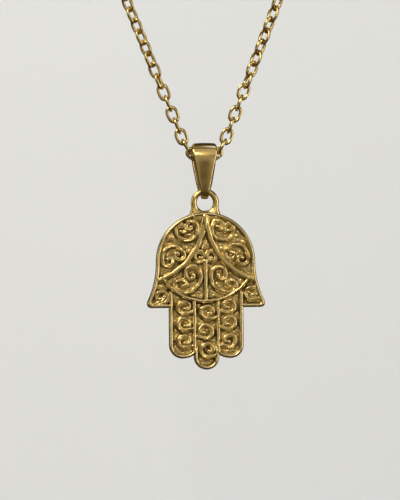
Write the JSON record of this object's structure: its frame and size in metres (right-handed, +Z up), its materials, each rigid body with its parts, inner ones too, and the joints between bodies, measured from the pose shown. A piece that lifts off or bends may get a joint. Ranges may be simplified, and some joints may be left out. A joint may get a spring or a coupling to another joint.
{
  "type": "hamsa pendant necklace",
  "caption": "Gold-plated cast hamsa hand with scroll relief, hanging from a folded bail on a closed cable chain as it does when worn.",
  "frame": {"origin": "nape point of the loop, the middle of the stretch that the clasp closes, where the necklace sits on the neck", "axes": "+Z up, the front of the hand faces -Y, +X towards the wearer's left"},
  "size_m": [0.1046, 0.1077, 0.139],
  "materials": {
    "chain_plating": "gold plated, polished",
    "bail_plating": "gold plated, polished",
    "hand_plating": "gold plated, satin on the relief, dark in the recesses"
  },
  "bodies": {
    "chain": {"chain_left": "chain_plating", "chain_right": "chain_plating", "clasp": "chain_plating"},
    "bail": {"bail": "bail_plating"},
    "hamsa": {"hamsa": "hand_plating"}
  },
  "joints": [
    {"name": "bail_swing", "type": "hinge", "parent": "chain", "child": "bail", "pos_m": [0, -0.105, -0.10339], "axis": [1, 0, 0], "range_deg": [-70, 70]},
    {"name": "pendant_swing", "type": "hinge", "parent": "bail", "child": "hamsa", "pos_m": [0, -0.105, -0.10898], "axis": [1, 0, 0], "range_deg": [-60, 60]}
  ]
}
